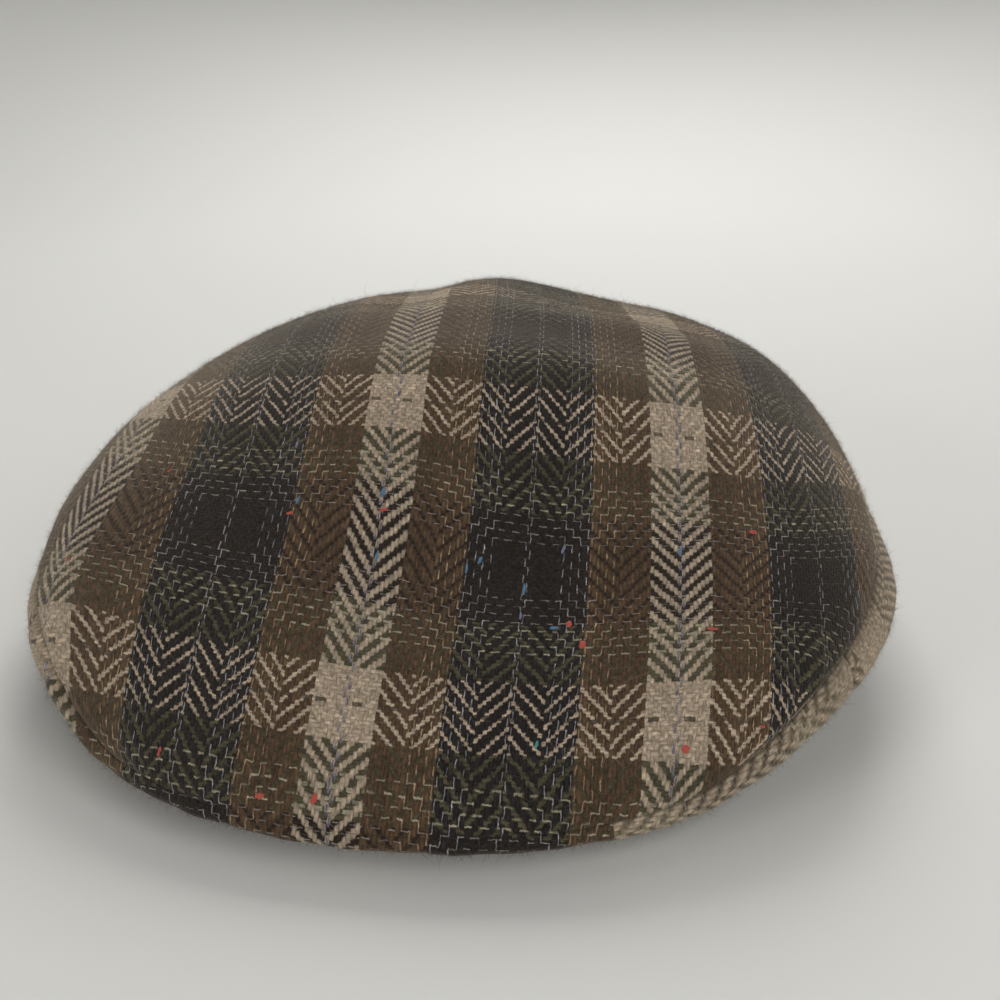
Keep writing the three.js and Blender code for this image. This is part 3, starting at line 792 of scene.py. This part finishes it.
def nap_fibres(name, grid, threads, wraps, count, joints, mean_length, seed):
    """Three-sided spikes scattered over a grid, each bent at its joints and drawn out to a point.

    A spike leaves the cloth along its normal, leans over along the cloth and swings a little at each joint.
    Its faces are unrolled side by side in a small square of the map, one square for each spike.
    """
    random = np.random.default_rng(seed)
    within = scattered(grid, wraps, count, random)
    root, normal = within(grid), within(grid_normals(grid, wraps))
    lie = random.normal(size=(count, 3))
    lie = lie - normal * (lie * normal).sum(-1, keepdims=True)
    length = np.minimum(random.gamma(3.0, mean_length / 3, (count, 1)), 3 * mean_length)
    way = normal * 0.6 + lie * 0.55
    side = np.cross(way, normal[:, [1, 2, 0]])
    side = side / np.maximum(np.linalg.norm(side, axis=-1, keepdims=True), 1e-9)
    other = np.cross(way, side) / np.maximum(np.linalg.norm(way, axis=-1, keepdims=True), 1e-9)
    turn = np.radians([0, 120, 240])[None, :, None]
    spoke = (side[:, None] * np.cos(turn) + other[:, None] * np.sin(turn)) * FIBRE_RADIUS
    place = root - normal * ROOT_DEPTH
    rings = [place[:, None] + spoke]
    for joint in range(joints):
        place = place + way * length / (joints + 1)
        rings.append(place[:, None] + spoke * (1 - 0.5 * (joint + 1) / (joints + 1)))
        way = way - normal * 0.35 + random.normal(size=(count, 3)) * 0.4
    tip = place + way * length / (joints + 1)
    points = np.concatenate([*rings, tip[:, None]], 1)
    points[..., 2] = np.maximum(points[..., 2], ABOVE_FLOOR)

    pairs = ((0, 1), (1, 2), (2, 0))
    sides = [[r + a, r + b, r + 3 + b, r + 3 + a] for r in range(0, 3 * joints, 3) for a, b in pairs]
    last, point = 3 * joints, 3 * joints + 3
    ends = [[last, last + 1, point], [last + 1, last + 2, point], [last + 2, last, point], [2, 1, 0]]
    rise = np.linspace(0.2, 0.9, joints + 2)
    column = [0.1, 0.37, 0.63, 0.9]
    flat = []
    for r in range(joints):
        low, high = rise[r], rise[r + 1]
        for left, right in zip(column[:-1], column[1:]):
            flat.append([(left, low), (right, low), (right, high), (left, high)])
    for left, right in zip(column[:-1], column[1:]):
        flat.append([(left, rise[-2]), (right, rise[-2]), (0.5, rise[-1])])
    flat.append([(0.1, 0.05), (0.9, 0.05), (0.5, 0.15)])
    base = np.arange(count)[:, None, None] * (point + 1)
    blocks = [base + np.array(sides)] if joints else []
    blocks.append(base + np.array(ends))
    faces = [face for block in blocks for face in block.reshape(-1, block.shape[-1]).tolist()]
    piece = new_piece(name, points, faces, herringbone_tweed)
    squares = int(np.ceil(np.sqrt(count)))
    square = np.stack([np.arange(count) % squares, np.arange(count) // squares], -1)
    corners = [np.array([uv for face in part for uv in face]) for part in (flat[:-4], flat[-4:]) if part]
    places = [((square[:, None] + part) / squares).reshape(-1, 2) for part in corners]
    piece.data.uv_layers.new(name="OFBake").data.foreach_set("uv", np.concatenate(places).ravel())
    count_threads(piece, np.repeat(within(threads), point + 1, 0))
    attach(piece, "root")
    return piece


top_naps = [
    nap_fibres("top_nap_short", crown_outer, crown_count, True, SHORT_ON_TOP, 0, SHORT_NAP, 11),
    nap_fibres("top_nap_fine", crown_outer, crown_count, True, SHORT_ON_TOP, 0, FINE_NAP, 12),
    nap_fibres("top_nap_strays", crown_outer, crown_count, True, STRAYS, 3, STRAY_NAP, 13),
]
for wall, loops, threads, slot, seed in (
    (side_left, left_loops, left_count, "side_tweed", 14),
    (side_right, right_loops, right_count, "side_tweed", 15),
    (peak, peak_loops, peak_count, "peak_tweed", 16),
):
    outside = slice(0, WALL_STEPS)
    grid, grid_threads = loops[:, outside], threads[:, outside]
    nap = nap_fibres(wall.name + "_nap", grid, grid_threads, False, SHORT_ON_SIDE, 0, WALL_NAP, seed)

# Slubs
# Short tufts of bright dyed wool, spun into the fancy yarns and left lying on the face of the cloth.
SLUB_HEIGHT = 0.26
RED, BLUE, VIOLET, TEAL = (0.40, 0.075, 0.055), (0.085, 0.17, 0.27), (0.17, 0.17, 0.29), (0.06, 0.26, 0.27)

# End, pick, dye, how far the tuft is turned from the run of the warp in degrees, half width, half length
SLUBS = [
    (-23, 45, BLUE, 10, 0.35, 1.2), (-24, 42, RED, 80, 0.4, 0.8), (-61, 50, RED, 60, 0.35, 0.6),
    (-26, 61, VIOLET, 0, 0.3, 1.0), (0, 48, BLUE, 10, 0.5, 1.3), (1, 45, RED, 75, 0.5, 1.0),
    (1, 34, BLUE, 5, 0.35, 1.5), (27, 39, BLUE, 20, 0.4, 1.0), (25, 36, BLUE, 0, 0.3, 1.3),
    (40, 33, BLUE, 0, 0.35, 1.4), (50, 43, VIOLET, 15, 0.35, 1.1), (49, 24, BLUE, 80, 0.35, 1.0),
    (52, 25, RED, 10, 0.6, 0.8), (55, 19, RED, 20, 0.7, 1.0), (40, 26, VIOLET, 0, 0.25, 1.0),
    (47, -5, TEAL, 10, 0.3, 0.9), (82, -6, RED, 15, 0.8, 0.9), (88, 22, RED, 85, 0.3, 1.3),
    (80, 44, BLUE, 5, 0.35, 1.3), (100, 50, RED, 80, 0.5, 0.9), (-4, -20, RED, 20, 0.6, 1.2),
    (-16, -21, RED, 80, 0.6, 1.0), (-44, -16, RED, 10, 0.35, 1.1), (102, 0, RED, 75, 0.35, 0.6),
    (-78, 21, RED, 10, 0.35, 0.7),
]


def slub_tufts():
    """Tuft on the crown at each listed crossing: a ball pressed flat, with a lumpy outline."""
    flat_count = crown_count.reshape(-1, 3)[:, :2]
    wanted = np.array([slub[:2] for slub in SLUBS], float)
    near = np.array([np.argmin(np.hypot(*(flat_count - place).T)) for place in wanted])
    place = crown_outer.reshape(-1, 3)[near]
    normal = grid_normals(crown_outer, True).reshape(-1, 3)[near]
    along = np.roll(crown_outer, -1, 0) - np.roll(crown_outer, 1, 0)
    steps = np.stack([along, np.gradient(crown_outer, axis=1)], -1).reshape(-1, 3, 2)[near]
    around = np.roll(crown_count, -1, 0) - np.roll(crown_count, 1, 0)
    counts = np.stack([around, np.gradient(crown_count, axis=1)], -1).reshape(-1, 3, 2)[near, :2]
    warp_way = (steps @ np.linalg.solve(counts, np.array([0.0, 1.0])[None, :, None]))[..., 0]
    warp_way = warp_way / np.linalg.norm(warp_way, axis=-1, keepdims=True)
    weft_way = np.cross(warp_way, normal)
    turn = np.radians([slub[3] for slub in SLUBS])[:, None]
    long_way = warp_way * np.cos(turn) + weft_way * np.sin(turn)
    cross_way = np.cross(long_way, normal)
    rows, sides = 9, 14
    tip = np.linspace(0.1, np.pi - 0.1, rows)[:, None]
    ring = np.arange(sides) * 2 * np.pi / sides
    start = np.arange(len(SLUBS))[:, None, None]
    lumps = 1 + 0.22 * np.sin(3 * ring + 4 * tip + start) + 0.16 * np.sin(5 * tip + 2.1 * start)
    thick = np.sin(tip) * lumps
    ball = np.stack([thick * np.cos(ring), np.cos(tip) + 0 * lumps, thick * np.sin(ring)], -1)
    half = np.array([(slub[4], slub[5], SLUB_HEIGHT) for slub in SLUBS])
    ball = ball.reshape(len(SLUBS), -1, 3) * half[:, None]
    points = place[:, None] + ball @ np.stack([cross_way, long_way, normal], 1)
    corner = np.arange(rows * sides).reshape(rows, sides)
    after = np.roll(corner, -1, 1)
    quads = np.stack([corner[:-1], after[:-1], after[1:], corner[1:]], -1).reshape(-1, 4)
    base = np.arange(len(SLUBS))[:, None] * rows * sides
    faces = (base[..., None] + quads).reshape(-1, 4).tolist()
    faces += (base + corner[0][::-1]).tolist() + (base + corner[-1]).tolist()
    return points, faces


def dyed_wool():
    """Felted tuft: the dye stored on each point, broken up by a fine mottle of lighter and darker hairs."""
    material = bpy.data.materials.new("dyed_slub_wool")
    material.use_nodes = True
    tree = material.node_tree
    shader = tree.nodes["Principled BSDF"]
    dye = tree.nodes.new("ShaderNodeAttribute")
    dye.attribute_name = "dye"
    place = tree.nodes.new("ShaderNodeTexCoord")
    hairs = tree.nodes.new("ShaderNodeTexNoise")
    hairs.inputs["Scale"].default_value = 4200.0
    tree.links.new(place.outputs["Object"], hairs.inputs["Vector"])
    shade = (Reading(tree, hairs.outputs["Fac"]) * 1.2 + 0.4).math("MINIMUM", 1.0)
    mottle = tree.nodes.new("ShaderNodeCombineColor")
    for socket in mottle.inputs[:3]:
        tree.links.new(shade.socket, socket)
    colour = blend_colour(tree, 1.0, dye.outputs["Color"], mottle.outputs[0], "MULTIPLY")
    tree.links.new(colour, shader.inputs["Base Color"])
    bump = tree.nodes.new("ShaderNodeBump")
    bump.inputs["Distance"].default_value = 0.2 * MM
    tree.links.new(hairs.outputs["Fac"], bump.inputs["Height"])
    tree.links.new(bump.outputs["Normal"], shader.inputs["Normal"])
    shader.inputs["Roughness"].default_value = 0.95
    shader.inputs["Specular IOR Level"].default_value = 0.15
    shader.inputs["Sheen Weight"].default_value = 0.2
    return material


slub_points, slub_faces = slub_tufts()
slubs = new_piece("slubs", slub_points, slub_faces, dyed_wool())
slub_dyes = np.repeat([(*slub[2], 1.0) for slub in SLUBS], slub_points.shape[1], 0)
slubs.data.attributes.new("dye", "FLOAT_COLOR", "POINT").data.foreach_set("color", slub_dyes.ravel())
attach(slubs, "root")
